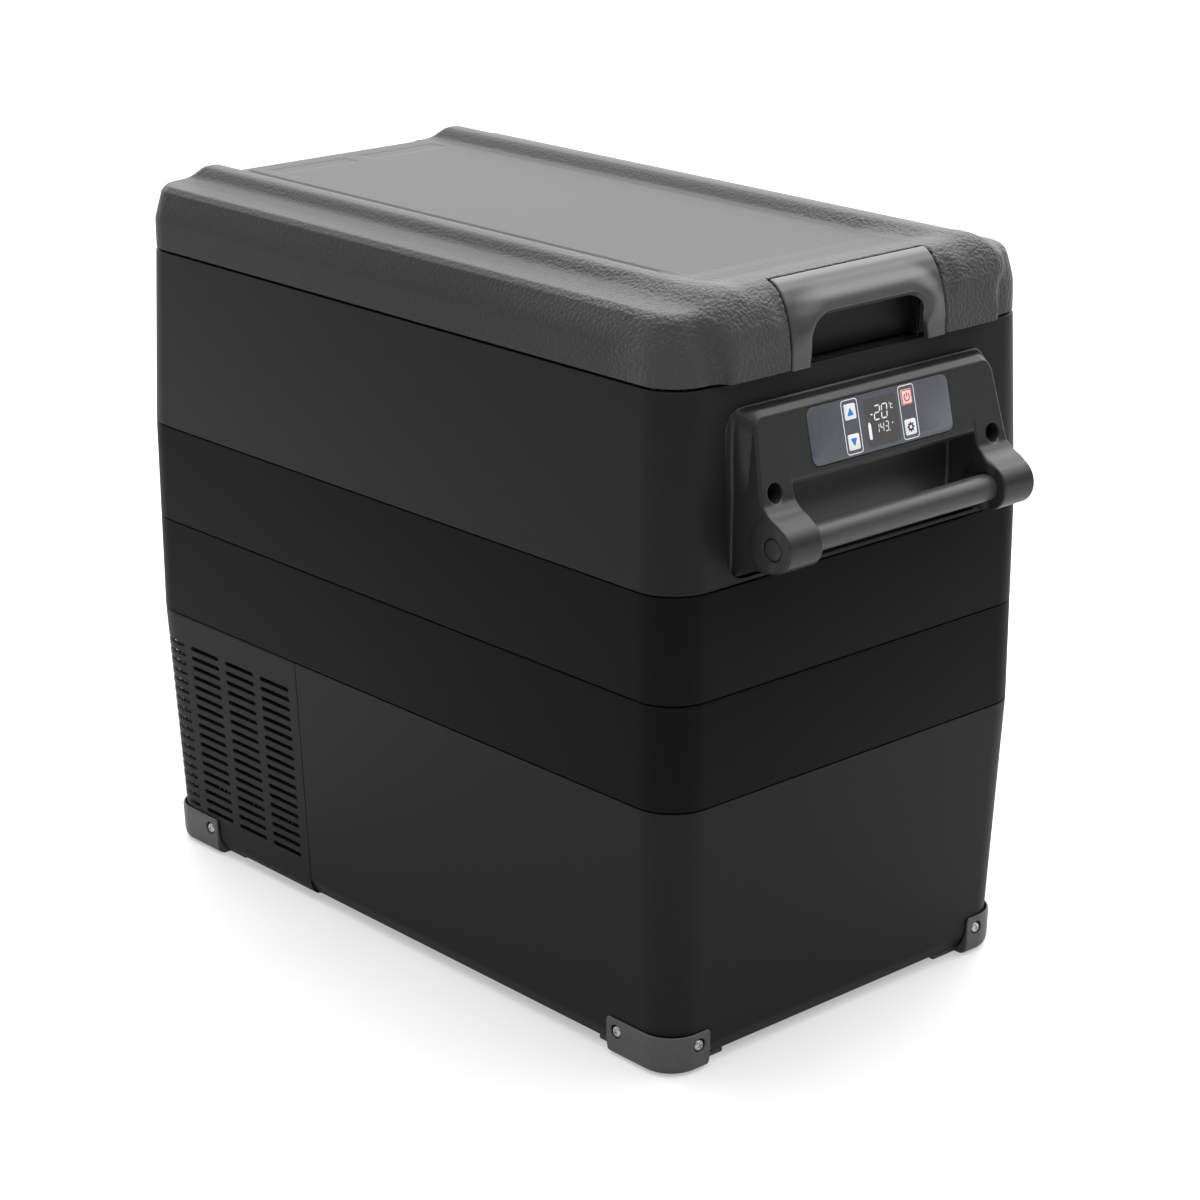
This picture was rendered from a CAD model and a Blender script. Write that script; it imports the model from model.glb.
import math

import bmesh
import bpy
import numpy as np
from mathutils import Matrix, Vector


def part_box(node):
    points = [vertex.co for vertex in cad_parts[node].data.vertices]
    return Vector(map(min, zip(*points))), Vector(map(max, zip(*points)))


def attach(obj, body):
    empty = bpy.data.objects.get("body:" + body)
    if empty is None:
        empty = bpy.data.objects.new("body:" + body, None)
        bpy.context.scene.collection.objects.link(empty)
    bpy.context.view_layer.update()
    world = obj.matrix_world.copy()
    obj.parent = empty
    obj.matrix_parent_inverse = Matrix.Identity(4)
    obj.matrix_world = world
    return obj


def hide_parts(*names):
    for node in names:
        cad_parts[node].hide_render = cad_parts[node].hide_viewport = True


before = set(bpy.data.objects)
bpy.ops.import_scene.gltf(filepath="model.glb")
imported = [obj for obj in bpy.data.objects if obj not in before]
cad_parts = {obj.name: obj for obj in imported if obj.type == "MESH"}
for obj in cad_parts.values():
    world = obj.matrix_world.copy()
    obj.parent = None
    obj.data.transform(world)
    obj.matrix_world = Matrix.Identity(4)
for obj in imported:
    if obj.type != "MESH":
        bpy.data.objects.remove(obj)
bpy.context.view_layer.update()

MM = 0.001


# ---- Sizes taken from the frame, in millimetres ----

def span(node):
    """Lowest and highest corner of a CAD node."""
    low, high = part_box(node)
    return np.array(low) / MM, np.array(high) / MM


SEAM = 0.8
WALL = 3.0
CORNER_R = 32.0
LEAN_R = 0.6
ring_low, ring_high = span("lower_ring")
HALF_L, HALF_W = ring_high[0], ring_high[1]
LOWER_TOP = ring_low[2] - SEAM / 2
RING1_TOP = ring_high[2] + SEAM / 2
RING2_TOP = span("upper_ring")[1][2] + SEAM / 2
SEAM_Z = span("upper_shell")[1][2]
UNDER_Z = span("lower_shell")[0][2]
VENT_X = span("vent_cover")[1][0]
LID_LOW, LID_HIGH = span("lid_top")
SEAM_INSET = HALF_L + LID_LOW[0]
FOOT_INSET = 8.5
BEZEL_HALF = span("control_bezel")[1][1]
BEZEL_LOW, BEZEL_HIGH = span("control_bezel")[0][2], span("control_bezel")[1][2]
BAR_LOW, BAR_HIGH = span("front_bar")
BAR_R = (BAR_HIGH[2] - BAR_LOW[2]) / 2
BAR_X, BAR_Z = BAR_HIGH[0] - BAR_R, BAR_HIGH[2] - BAR_R
GRIP_HALF = span("latch_handle")[1][1]

# Grid steps of the sculpted pieces
FINE_GRID, BEZEL_GRID, BRACKET_GRID, LID_GRID = 0.85, 1.12, 1.2, 2.45

SHARP_ANGLE = math.radians(32)
BEVEL_ANGLE = math.radians(28)


# ---- Outlines ----

def fillet(points, steps=4, closed=True):
    """Polyline whose corners are rounded where a point carries a radius as its third number."""
    path = []
    for i, point in enumerate(points):
        here = np.array(point[:2], float)
        radius = point[2] if len(point) > 2 else 0
        if radius == 0 or (not closed and i in (0, len(points) - 1)):
            path.append(here)
            continue
        back = np.array(points[i - 1][:2], float) - here
        ahead = np.array(points[(i + 1) % len(points)][:2], float) - here
        back_l, ahead_l = np.hypot(*back), np.hypot(*ahead)
        back, ahead = back / back_l, ahead / ahead_l
        half = math.acos(np.clip(back @ ahead, -1, 1)) / 2
        reach = min(radius / math.tan(half), back_l * 0.49, ahead_l * 0.49)
        radius = reach * math.tan(half)
        middle = here + (back + ahead) / np.hypot(*(back + ahead)) * radius / math.sin(half)
        first, last = here + back * reach - middle, here + ahead * reach - middle
        start = math.atan2(first[1], first[0])
        turn = (math.atan2(last[1], last[0]) - start + math.pi) % (2 * math.pi) - math.pi
        for k in range(steps + 1):
            angle = start + turn * k / steps
            path.append(middle + radius * np.array([math.cos(angle), math.sin(angle)]))
    return np.array(path)


def round_rectangle(half_u, half_v, radius, turns=12):
    """Loop round a rectangle with round corners, anticlockwise."""
    loop = []
    for corner in range(4):
        sign_u = 1 if corner in (0, 3) else -1
        sign_v = 1 if corner < 2 else -1
        for k in range(turns + 1):
            angle = math.radians(90 * (corner + k / turns))
            loop.append((sign_u * (half_u - radius) + radius * math.cos(angle),
                         sign_v * (half_v - radius) + radius * math.sin(angle)))
    return np.array(loop)


def circle(radius, count=48):
    angles = np.arange(count) * 2 * math.pi / count
    return np.stack([radius * np.cos(angles), radius * np.sin(angles)], 1)


def smooth(value, low, high):
    """0 below low, 1 above high, with a soft turn at both."""
    t = np.clip((value - low) / (high - low), 0, 1)
    return t * t * (3 - 2 * t)


# ---- Meshes ----

def raw(name, points, faces):
    """Mesh object from points in millimetres, not yet a piece."""
    mesh = bpy.data.meshes.new(name)
    mesh.from_pydata((np.asarray(points) * MM).tolist(), [], [tuple(map(int, f)) for f in faces])
    mesh.validate()
    obj = bpy.data.objects.new(name, mesh)
    bpy.context.scene.collection.objects.link(obj)
    return obj


def with_bmesh(obj, work):
    edit = bmesh.new()
    edit.from_mesh(obj.data)
    work(edit)
    edit.to_mesh(obj.data)
    edit.free()


def outward(obj):
    with_bmesh(obj, lambda edit: bmesh.ops.recalc_face_normals(edit, faces=edit.faces))
    return obj


def loft(name, rings, closed=False):
    """Solid through rings of points; closed joins the last ring to the first, else both ends are capped."""
    count, levels = len(rings[0]), len(rings)
    faces = []
    for level in range(levels if closed else levels - 1):
        a, b = level * count, (level + 1) % levels * count
        faces += [(a + i, a + (i + 1) % count, b + (i + 1) % count, b + i) for i in range(count)]
    if not closed:
        faces += [range(count)[::-1], range((levels - 1) * count, levels * count)]
    return outward(raw(name, np.concatenate(rings), faces))


def flat_ring(outline, z):
    return np.column_stack([outline, np.full(len(outline), z)])


def cabinet_ring(inset, z):
    return flat_ring(round_rectangle(HALF_L - inset, HALF_W - inset, max(CORNER_R - LEAN_R * inset, 1.5)), z)


def swept(name, profile):
    """Closed profile of (inset, height) points, carried round the cabinet's outline."""
    return loft(name, [cabinet_ring(inset, z) for inset, z in profile], closed=True)


def prism(name, outline, axis, low, high, soft=0):
    """Outline extruded along X, Y or Z; soft rounds the two end edges."""
    def at(points, place):
        columns = [points[:, 0], points[:, 1]]
        columns.insert("xyz".index(axis), np.full(len(points), place))
        return np.column_stack(columns)

    centre = outline.mean(0)
    spread = np.abs(outline - centre).max()
    small = centre + (outline - centre) * (1 - soft / spread)
    mid = centre + (outline - centre) * (1 - 0.3 * soft / spread)
    if soft:
        places = [(small, low), (mid, low + 0.3 * soft), (outline, low + soft),
                  (outline, high - soft), (mid, high - 0.3 * soft), (small, high)]
    else:
        places = [(outline, low), (outline, high)]
    return loft(name, [at(points, place) for points, place in places])


def lathe(name, profile, count=48):
    """Profile of (radius, height) turned round Z; the ends close on themselves."""
    return loft(name, [flat_ring(circle(max(r, 0.01), count), z) for r, z in profile])


def bake(obj):
    """Applies the object's modifiers to its mesh."""
    graph = bpy.context.evaluated_depsgraph_get()
    old = obj.data
    obj.data = bpy.data.meshes.new_from_object(obj.evaluated_get(graph))
    obj.modifiers.clear()
    bpy.data.meshes.remove(old)
    return obj


def combine(obj, other, operation="DIFFERENCE"):
    modifier = obj.modifiers.new(operation, "BOOLEAN")
    modifier.operation = operation
    modifier.object = other
    modifier.solver = "EXACT"
    bake(obj)
    bpy.data.objects.remove(other)
    return obj


def bevel(obj, width):
    modifier = obj.modifiers.new("bevel", "BEVEL")
    modifier.width = width * MM
    modifier.segments = 2
    modifier.limit_method = "ANGLE"
    modifier.angle_limit = BEVEL_ANGLE
    return bake(obj)


def join(name, objects):
    """One object from several; their meshes are merged and the originals removed."""
    whole = bmesh.new()
    for obj in objects:
        obj.data.transform(obj.matrix_basis)
        whole.from_mesh(obj.data)
        bpy.data.objects.remove(obj)
    mesh = bpy.data.meshes.new(name)
    whole.to_mesh(mesh)
    whole.free()
    obj = bpy.data.objects.new(name, mesh)
    bpy.context.scene.collection.objects.link(obj)
    return obj


def moved(obj, place=(0, 0, 0), rotation=None):
    """Turns a mesh by a matrix and shifts it by millimetres."""
    obj.data.transform(Matrix.Translation(Vector(place) * MM) @ (rotation or Matrix.Identity(4)))
    return obj


def field_normals(obj):
    """Normals that a sculpted mesh carries from its field."""
    values = np.empty(3 * len(obj.data.vertices), np.float32)
    obj.data.attributes["field_normal"].data.foreach_get("vector", values)
    return values.reshape(-1, 3)


def mirrored(name, obj, signs):
    """Copy of a mesh, reflected by a sign for each axis."""
    copy = bpy.data.objects.new(name, obj.data.copy())
    bpy.context.scene.collection.objects.link(copy)
    copy.data.transform(Matrix.Diagonal((*signs, 1)))
    if np.prod(signs) < 0:
        copy.data.flip_normals()
    stored = copy.data.attributes.get("field_normal")
    if stored:
        stored.data.foreach_set("vector", (field_normals(copy) * signs).astype(np.float32).ravel())
    return copy


def settle(obj, material, body, slot, *nodes):
    """Makes a mesh a piece: material, shading, its body, its slot and the nodes it stands for."""
    obj.data.materials.clear()
    obj.data.materials.append(material)
    obj.data.shade_smooth()
    if "field_normal" in obj.data.attributes:
        normals = field_normals(obj)
        obj.data.attributes.remove(obj.data.attributes["field_normal"])
        obj.data.normals_split_custom_set_from_vertices(normals)
    else:
        obj.data.set_sharp_from_angle(angle=SHARP_ANGLE)
    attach(obj, body)
    if nodes:
        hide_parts(*nodes)
    return obj


def soften(node, name, material, body, slot, width):
    """Copy of a CAD node with its edges rounded, standing for it."""
    copy = bpy.data.objects.new(name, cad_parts[node].data.copy())
    bpy.context.scene.collection.objects.link(copy)

    def clean(edit):
        bmesh.ops.remove_doubles(edit, verts=edit.verts, dist=0.00002)
        bmesh.ops.dissolve_limit(edit, angle_limit=math.radians(1), verts=edit.verts, edges=edit.edges)

    with_bmesh(copy, clean)
    bevel(copy, width)
    return settle(copy, material, body, slot, node)


# ---- Shapes as distance fields ----

def meet(a, b, radius):
    """Common part of two fields, its edge rounded."""
    rounded = np.hypot(np.maximum(a + radius, 0), np.maximum(b + radius, 0))
    return np.minimum(np.maximum(a, b), -radius) + rounded


def blend(a, b, radius):
    """Both fields together, the corner between them filled with a radius."""
    return -meet(-a, -b, radius)


def rectangle_field(u, v, half_u, half_v, radius):
    along, up = np.abs(u) - half_u + radius, np.abs(v) - half_v + radius
    return np.minimum(np.maximum(along, up), 0) + np.hypot(np.maximum(along, 0), np.maximum(up, 0)) - radius


def outline_field(outline):
    """Distance to a closed outline, negative inside."""
    def field(u, v):
        nearest = np.full(np.broadcast(u, v).shape, np.inf)
        inside = np.zeros(nearest.shape, bool)
        for a, b in zip(outline, np.roll(outline, -1, axis=0)):
            edge = b - a
            if not edge.any():
                continue
            du, dv = u - a[0], v - a[1]
            t = np.clip((du * edge[0] + dv * edge[1]) / (edge @ edge), 0, 1)
            nearest = np.minimum(nearest, (du - t * edge[0]) ** 2 + (dv - t * edge[1]) ** 2)
            if edge[1] != 0:
                inside ^= ((a[1] > v) != (b[1] > v)) & (du < edge[0] * dv / edge[1])
        return np.sqrt(nearest) * np.where(inside, -1, 1)
    return field


def surface_net(field, low, step):
    """Points and quads of the surface where a sampled field crosses zero."""
    inside = field < 0
    shape = np.array(field.shape) - 1
    corners = [(i, j, k) for i in (0, 1) for j in (0, 1) for k in (0, 1)]

    def seen(grid, corner):
        return grid[tuple(slice(c, c + s) for c, s in zip(corner, shape))]

    count = sum(seen(inside, corner).astype(np.int8) for corner in corners)
    active = (count > 0) & (count < 8)
    cells = np.argwhere(active)
    number = np.full(shape, -1)
    number[active] = np.arange(len(cells))
    total, hits = np.zeros((len(cells), 3)), np.zeros(len(cells))
    for corner in corners:
        for axis in range(3):
            if corner[axis]:
                continue
            other = tuple(1 if i == axis else c for i, c in enumerate(corner))
            a, b = seen(field, corner)[active], seen(field, other)[active]
            crossing = (a < 0) != (b < 0)
            point = np.tile(np.array(corner, float), (len(cells), 1))
            point[:, axis] += np.where(crossing, a / np.where(crossing, a - b, 1), 0)
            total[crossing] += point[crossing]
            hits += crossing
    points = np.array(low) + step * (cells + total / hits[:, None])
    faces = []
    for axis in range(3):
        u, v = (axis + 1) % 3, (axis + 2) % 3
        change = np.diff(inside.astype(np.int8), axis=axis)
        edges = np.argwhere(change != 0)
        keep = (edges[:, u] > 0) & (edges[:, v] > 0) & (edges[:, u] < shape[u]) & (edges[:, v] < shape[v])
        edges = edges[keep]
        quad = []
        for du, dv in ((-1, -1), (0, -1), (0, 0), (-1, 0)):
            cell = edges.copy()
            cell[:, u] += du
            cell[:, v] += dv
            quad.append(number[tuple(cell.T)])
        quad = np.stack(quad, 1)
        flip = change[tuple(edges.T)] > 0
        quad[flip] = quad[flip, ::-1]
        faces.append(quad)
    return points, np.concatenate(faces)


def sculpt(name, field, low, high, step):
    """Mesh of a distance field inside a box, its points moved onto the exact surface."""
    axes = [np.arange(low[i], high[i] + step, step) for i in range(3)]
    x, y, z = np.meshgrid(*axes, indexing="ij", sparse=True)
    samples = np.broadcast_to(field(x, y, z), [len(a) for a in axes])
    points, faces = surface_net(samples, low, step)
    reach = step / 20
    for _ in range(2):
        value = field(*points.T)
        slope = np.stack([(field(*(points + shift).T) - value) / reach for shift in np.eye(3) * reach], 1)
        steep = np.maximum((slope ** 2).sum(1), 0.2)
        points -= np.clip(value / steep, -step, step)[:, None] * slope
    obj = raw(name, points, faces)
    normals = slope / np.maximum(np.linalg.norm(slope, axis=1), 1e-6)[:, None]
    if len(obj.data.vertices) == len(points):
        stored = obj.data.attributes.new("field_normal", "FLOAT_VECTOR", "POINT")
        stored.data.foreach_set("vector", normals.astype(np.float32).ravel())
    return obj


# ---- Materials ----

def material(name, colour, roughness, metallic=0.0, specular=0.5):
    """Principled material with its plain values set on the shader itself."""
    made = bpy.data.materials.new(name)
    made.use_nodes = True
    shader = made.node_tree.nodes["Principled BSDF"]
    shader.inputs["Base Color"].default_value = (*colour, 1)
    shader.inputs["Roughness"].default_value = roughness
    shader.inputs["Metallic"].default_value = metallic
    shader.inputs["Specular IOR Level"].default_value = specular
    return made


def add(made, kind, **values):
    """Node of a kind, with attributes set in lower case and input values set by their socket names."""
    node = made.node_tree.nodes.new(kind)
    for key, value in values.items():
        if hasattr(node, key):
            setattr(node, key, value)
        else:
            node.inputs[key.replace("_", " ").title()].default_value = value
    return node


def wire(made, start, socket, end, target):
    made.node_tree.links.new(start.outputs[socket], end.inputs[target])


def vary(made, colour, other, roughness, scale):
    """Cloudy change between two colours and two roughnesses."""
    shader = made.node_tree.nodes["Principled BSDF"]
    place = add(made, "ShaderNodeTexCoord")
    cloud = add(made, "ShaderNodeTexNoise", scale=scale, detail=4, roughness=0.6)
    wire(made, place, "Object", cloud, "Vector")
    ramp = add(made, "ShaderNodeValToRGB")
    ramp.color_ramp.elements[0].position, ramp.color_ramp.elements[1].position = 0.35, 0.65
    ramp.color_ramp.elements[0].color, ramp.color_ramp.elements[1].color = (*colour, 1), (*other, 1)
    wire(made, cloud, "Fac", ramp, "Fac")
    wire(made, ramp, "Color", shader, "Base Color")
    gloss = add(made, "ShaderNodeMapRange")
    gloss.inputs["From Min"].default_value, gloss.inputs["From Max"].default_value = 0.3, 0.7
    gloss.inputs["To Min"].default_value, gloss.inputs["To Max"].default_value = roughness
    wire(made, cloud, "Fac", gloss, "Value")
    wire(made, gloss, "Result", shader, "Roughness")
    return place


def grain(made, place, size, depth, kind="fine"):
    """Moulded surface texture: size and depth in millimetres; pebble is the coarse leather grain."""
    shader = made.node_tree.nodes["Principled BSDF"]
    if kind == "pebble":
        warp = add(made, "ShaderNodeTexNoise", scale=600 / size, detail=2)
        wire(made, place, "Object", warp, "Vector")
        shift = add(made, "ShaderNodeVectorMath", operation="MULTIPLY_ADD")
        shift.inputs[1].default_value = (size * MM * 0.9,) * 3
        wire(made, warp, "Color", shift, 0)
        wire(made, place, "Object", shift, 2)
        cells = add(made, "ShaderNodeTexVoronoi", feature="SMOOTH_F1", scale=1000 / size)
        wire(made, shift, "Vector", cells, "Vector")
        source, socket = cells, "Distance"
    else:
        source = add(made, "ShaderNodeTexNoise", scale=1000 / size, detail=3, roughness=0.65)
        wire(made, place, "Object", source, "Vector")
        socket = "Fac"
    bump = add(made, "ShaderNodeBump", strength=1.0, distance=depth * MM)
    bump.invert = kind == "pebble"
    wire(made, source, socket, bump, "Height")
    wire(made, bump, "Normal", shader, "Normal")
    return bump


def moulded(name, grey, roughness, size=0.7, depth=0.03, kind="fine", tint=(1, 1, 1.02), specular=0.5):
    """Textured plastic of one grey."""
    low = tuple(grey * 0.94 * t for t in tint)
    high = tuple(grey * 1.06 * t for t in tint)
    made = material(name, high, roughness, specular=specular)
    place = vary(made, low, high, (roughness - 0.012, roughness + 0.012), 220)
    grain(made, place, size, depth, kind)
    return made


def leather(made, place, bump):
    """Deep grain on the lid's front corners and ridges, fading to a fine one on the panel and skirt."""
    split = add(made, "ShaderNodeSeparateXYZ")
    wire(made, place, "Object", split, "Vector")
    away = add(made, "ShaderNodeMath", operation="ABSOLUTE")
    wire(made, split, "Y", away, 0)

    def step(source, socket, low, high, start, end):
        node = add(made, "ShaderNodeMapRange", interpolation_type="SMOOTHSTEP")
        for name, value in (("From Min", low), ("From Max", high), ("To Min", start), ("To Max", end)):
            node.inputs[name].default_value = value
        wire(made, source, socket, node, "Value")
        return node

    def both(operation, a, b):
        node = add(made, "ShaderNodeMath", operation=operation)
        node.inputs[1].default_value = 1.0
        for i, source in enumerate((a, b)):
            wire(made, source, "Result" if source.bl_idname == "ShaderNodeMapRange" else "Value", node, i)
        return node

    front = step(split, "X", 0.06, 0.25, 0.35, 1.0)
    outside = both("MAXIMUM", step(away, "Value", 0.088, 0.096, 0.25, 1.0),
                   step(split, "X", 0.255, 0.285, 0.0, 1.0))
    raised = both("MAXIMUM", step(split, "Z", 0.505, 0.524, 0.45, 1.0),
                  step(split, "X", 0.2, 0.27, 0.0, 1.0))
    strength = both("MULTIPLY", both("MULTIPLY", front, outside), raised)
    wire(made, strength, "Value", bump, "Strength")
    shader = made.node_tree.nodes["Principled BSDF"]
    dull = shader.inputs["Base Color"].links[0].from_node
    worn = add(made, "ShaderNodeMix", data_type="RGBA")
    worn.inputs[7].default_value = (0.048, 0.048, 0.049, 1)
    wire(made, strength, "Value", worn, 0)
    wire(made, dull, "Color", worn, 6)
    made.node_tree.links.new(worn.outputs[2], shader.inputs["Base Color"])


def metal(name, colour, roughness, size=0.4, depth=0.004):
    made = material(name, colour, roughness, metallic=1.0)
    other = tuple(c * 0.9 for c in colour)
    place = vary(made, other, colour, (roughness, roughness + 0.12), 60)
    grain(made, place, size, depth)
    return made


shell_plastic = moulded("shell_plastic", 0.0115, 0.50, 0.9, 0.03, specular=0.11)
ring_plastic = moulded("ring_plastic", 0.0045, 0.52, 0.9, 0.03, specular=0.06)
lid_plastic = material("lid_plastic", (0.019, 0.019, 0.0195), 0.50, specular=0.16)
lid_place = vary(lid_plastic, (0.018, 0.018, 0.0184), (0.0205, 0.0205, 0.021), (0.485, 0.515), 260)
leather(lid_plastic, lid_place, grain(lid_plastic, lid_place, 2.2, 1.15, kind="pebble"))
satin_plastic = moulded("satin_plastic", 0.019, 0.38, 0.5, 0.012, specular=0.28)
grip_plastic = moulded("grip_plastic", 0.040, 0.40, 0.6, 0.02, specular=0.5)
guard_plastic = moulded("guard_plastic", 0.066, 0.44, 0.7, 0.02, specular=0.35)
bar_coating = moulded("bar_coating", 0.040, 0.40, 0.45, 0.015, specular=0.3)
dark_plastic = moulded("dark_plastic", 0.006, 0.45, 0.6, 0.02, specular=0.12)
tank_plastic = moulded("tank_plastic", 0.50, 0.42, 1.2, 0.02, tint=(0.98, 1, 1.02))
rubber = moulded("rubber", 0.012, 0.75, 0.5, 0.03)
foam_core = moulded("foam_core", 0.35, 0.9, 1.0, 0.1, kind="pebble", tint=(1, 0.9, 0.6))
compressor_paint = moulded("compressor_paint", 0.014, 0.32, 1.5, 0.03)
coated_wire = moulded("coated_wire", 0.62, 0.30, 0.8, 0.01)
overlay_film = moulded("overlay_film", 0.083, 0.33, 0.4, 0.004, tint=(0.9, 1.0, 1.13))
board_lacquer = moulded("board_lacquer", 0.10, 0.35, 1.0, 0.01, tint=(0.3, 1.6, 0.8))
lens_plastic = moulded("lens_plastic", 0.80, 0.25, 0.5, 0.004)
steel = metal("steel", (0.55, 0.55, 0.56), 0.24)
sheet_metal = metal("sheet_metal", (0.72, 0.73, 0.75), 0.34, 0.8, 0.01)
copper = metal("copper", (0.70, 0.34, 0.18), 0.28)
key_cap = moulded("key_cap", 0.78, 0.28, 0.5, 0.004, tint=(0.98, 1.0, 1.04))
power_cap = moulded("power_cap", 0.74, 0.28, 0.5, 0.004, tint=(1.08, 0.86, 0.86))
print_white = moulded("print_white", 0.80, 0.40, 0.3, 0.002)
print_blue = moulded("print_blue", 0.22, 0.40, 0.3, 0.002, tint=(0.12, 0.9, 2.4))
print_red = moulded("print_red", 0.35, 0.40, 0.3, 0.002, tint=(1.6, 0.12, 0.12))
print_dark = moulded("print_dark", 0.02, 0.40, 0.3, 0.002)
display_black = moulded("display_black", 0.062, 0.33, 0.4, 0.002, tint=(1.02, 0.95, 0.99))


# ---- Camera, floor and lights ----

def photo_camera():
    """Camera at the photograph's place and angle."""
    data = bpy.data.cameras.new("photo_camera")
    data.lens, data.sensor_width = 93.885, 36
    data.clip_start, data.clip_end = 0.05, 100
    camera = bpy.data.objects.new("photo_camera", data)
    bpy.context.scene.collection.objects.link(camera)
    camera.location = (1.6760, -1.4721, 1.0036)
    turn = Matrix.Rotation(math.radians(48.09), 4, "Z") @ Matrix.Rotation(math.radians(90 - 19.04), 4, "X")
    camera.rotation_euler = (turn @ Matrix.Rotation(math.radians(-0.152), 4, "Z")).to_euler()
    bpy.context.scene.camera = camera


def area_light(name, place, aim, size, watts):
    """Soft rectangular light looking at a point; places in metres."""
    data = bpy.data.lights.new(name, "AREA")
    data.shape = "RECTANGLE"
    data.size, data.size_y = size
    data.energy = watts
    light = bpy.data.objects.new(name, data)
    bpy.context.scene.collection.objects.link(light)
    light.location = place
    light.rotation_euler = (Vector(aim) - Vector(place)).to_track_quat("-Z", "Y").to_euler()
    return light


def lobe(nodes, links, direction, low, high, strength):
    """Sky brightness that grows softly towards a direction."""
    place = nodes.new("ShaderNodeTexCoord")
    towards = nodes.new("ShaderNodeVectorMath")
    towards.operation = "DOT_PRODUCT"
    towards.inputs[1].default_value = Vector(direction).normalized()
    links.new(place.outputs["Generated"], towards.inputs[0])
    rise = nodes.new("ShaderNodeMapRange")
    rise.interpolation_type = "SMOOTHSTEP"
    rise.inputs["From Min"].default_value, rise.inputs["From Max"].default_value = low, high
    rise.inputs["To Min"].default_value, rise.inputs["To Max"].default_value = 0.0, strength
    links.new(towards.outputs["Value"], rise.inputs["Value"])
    return rise


def studio():
    """White surroundings for the camera, a soft sky brightest behind the object, and a pale floor."""
    world = bpy.data.worlds.new("studio")
    bpy.context.scene.world = world
    world.use_nodes = True
    nodes, links = world.node_tree.nodes, world.node_tree.links
    seen = nodes["Background"]
    seen.inputs["Color"].default_value = (1, 1, 1, 1)
    seen.inputs["Strength"].default_value = 1.0
    felt = nodes.new("ShaderNodeBackground")
    total = None
    for part in SKY:
        step = nodes.new("ShaderNodeMath")
        step.operation, step.inputs[1].default_value = "ADD", SKY_BASE
        if total:
            links.new(total.outputs["Value"], step.inputs[1])
        links.new(lobe(nodes, links, *part).outputs["Result"], step.inputs[0])
        total = step
    links.new(total.outputs["Value"], felt.inputs["Strength"])
    ray = nodes.new("ShaderNodeLightPath")
    mix = nodes.new("ShaderNodeMixShader")
    links.new(ray.outputs["Is Camera Ray"], mix.inputs["Fac"])
    links.new(felt.outputs["Background"], mix.inputs[1])
    links.new(seen.outputs["Background"], mix.inputs[2])
    links.new(mix.outputs["Shader"], nodes["World Output"].inputs["Surface"])
    bpy.context.scene.view_settings.view_transform = "Standard"

    reach = 30000
    floor = raw("floor", [(-reach, -reach, 0), (reach, -reach, 0), (reach, reach, 0), (-reach, reach, 0)],
                [(0, 1, 2, 3)])
    paper = material("floor_paper", (FLOOR_GREY,) * 3, 0.7, specular=0.2)
    place = vary(paper, (FLOOR_GREY - 0.01,) * 3, (FLOOR_GREY + 0.01,) * 3, (0.65, 0.75), 3)
    grain(paper, place, 4, 0.02)
    shader = paper.node_tree.nodes["Principled BSDF"]
    shader.inputs["Emission Color"].default_value = (1, 1, 1, 1)
    seen_glow = add(paper, "ShaderNodeMapRange")
    seen_glow.inputs["To Min"].default_value = FLOOR_BOUNCE
    seen_glow.inputs["To Max"].default_value = FLOOR_GLOW
    wire(paper, add(paper, "ShaderNodeLightPath"), "Is Camera Ray", seen_glow, "Value")
    wire(paper, seen_glow, "Result", shader, "Emission Strength")
    floor.data.materials.append(paper)
    area_light("overhead", (-0.5, 0.3, 2.4), (0, 0, 0.3), (1.8, 1.8), 12)


SKY_BASE = 0.05
SKY = (
    ((-0.62, 0.56, 0.45), 0.2, 0.9, 3.5),
    ((0.0, -0.9, 0.43), 0.0, 1.0, 0.4),
    ((-0.04, 0.24, 0.95), 0.4, 0.99, 3.9),
)
FLOOR_GREY = 0.40
FLOOR_GLOW = 0.42
FLOOR_BOUNCE = 0.20
photo_camera()
studio()


# ---- Cabinet shells ----

def lean(z):
    """How far the lower part's wall stands in at a height."""
    return FOOT_INSET * (LOWER_TOP - z) / (LOWER_TOP - UNDER_Z - 12)


def end_opening(sign, grow):
    """Round-cornered block that cuts the opening for a bezel through an end wall."""
    outline = round_rectangle(BEZEL_HALF + grow, (BEZEL_HIGH - BEZEL_LOW) / 2 + grow, 15 + grow)
    outline += (0, (BEZEL_HIGH + BEZEL_LOW) / 2)
    low, high = sorted((sign * (HALF_L - 20), sign * (HALF_L + 20)))
    return prism("opening", outline, "x", low, high)


upper_profile = fillet([(0, RING2_TOP + SEAM / 2, 1.0), (SEAM_INSET, SEAM_Z, 1.6),
                        (SEAM_INSET + WALL, SEAM_Z), (WALL, RING2_TOP + SEAM / 2)])
upper_shell = swept("upper_shell_skin", upper_profile)
for sign in (1, -1):
    combine(upper_shell, end_opening(sign, SEAM))
settle(upper_shell, shell_plastic, "cabinet", "shell_grey", "upper_shell")

for name, low, high in (("upper_ring", RING1_TOP, RING2_TOP), ("lower_ring", LOWER_TOP, RING1_TOP)):
    z0, z1 = low + SEAM / 2, high - SEAM / 2
    profile = fillet([(0, z0, 1.0), (0, z1, 1.0), (WALL, z1), (WALL, z0)])
    settle(swept(name + "_skin", profile), ring_plastic, "cabinet", "ring_grey", name)

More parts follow.
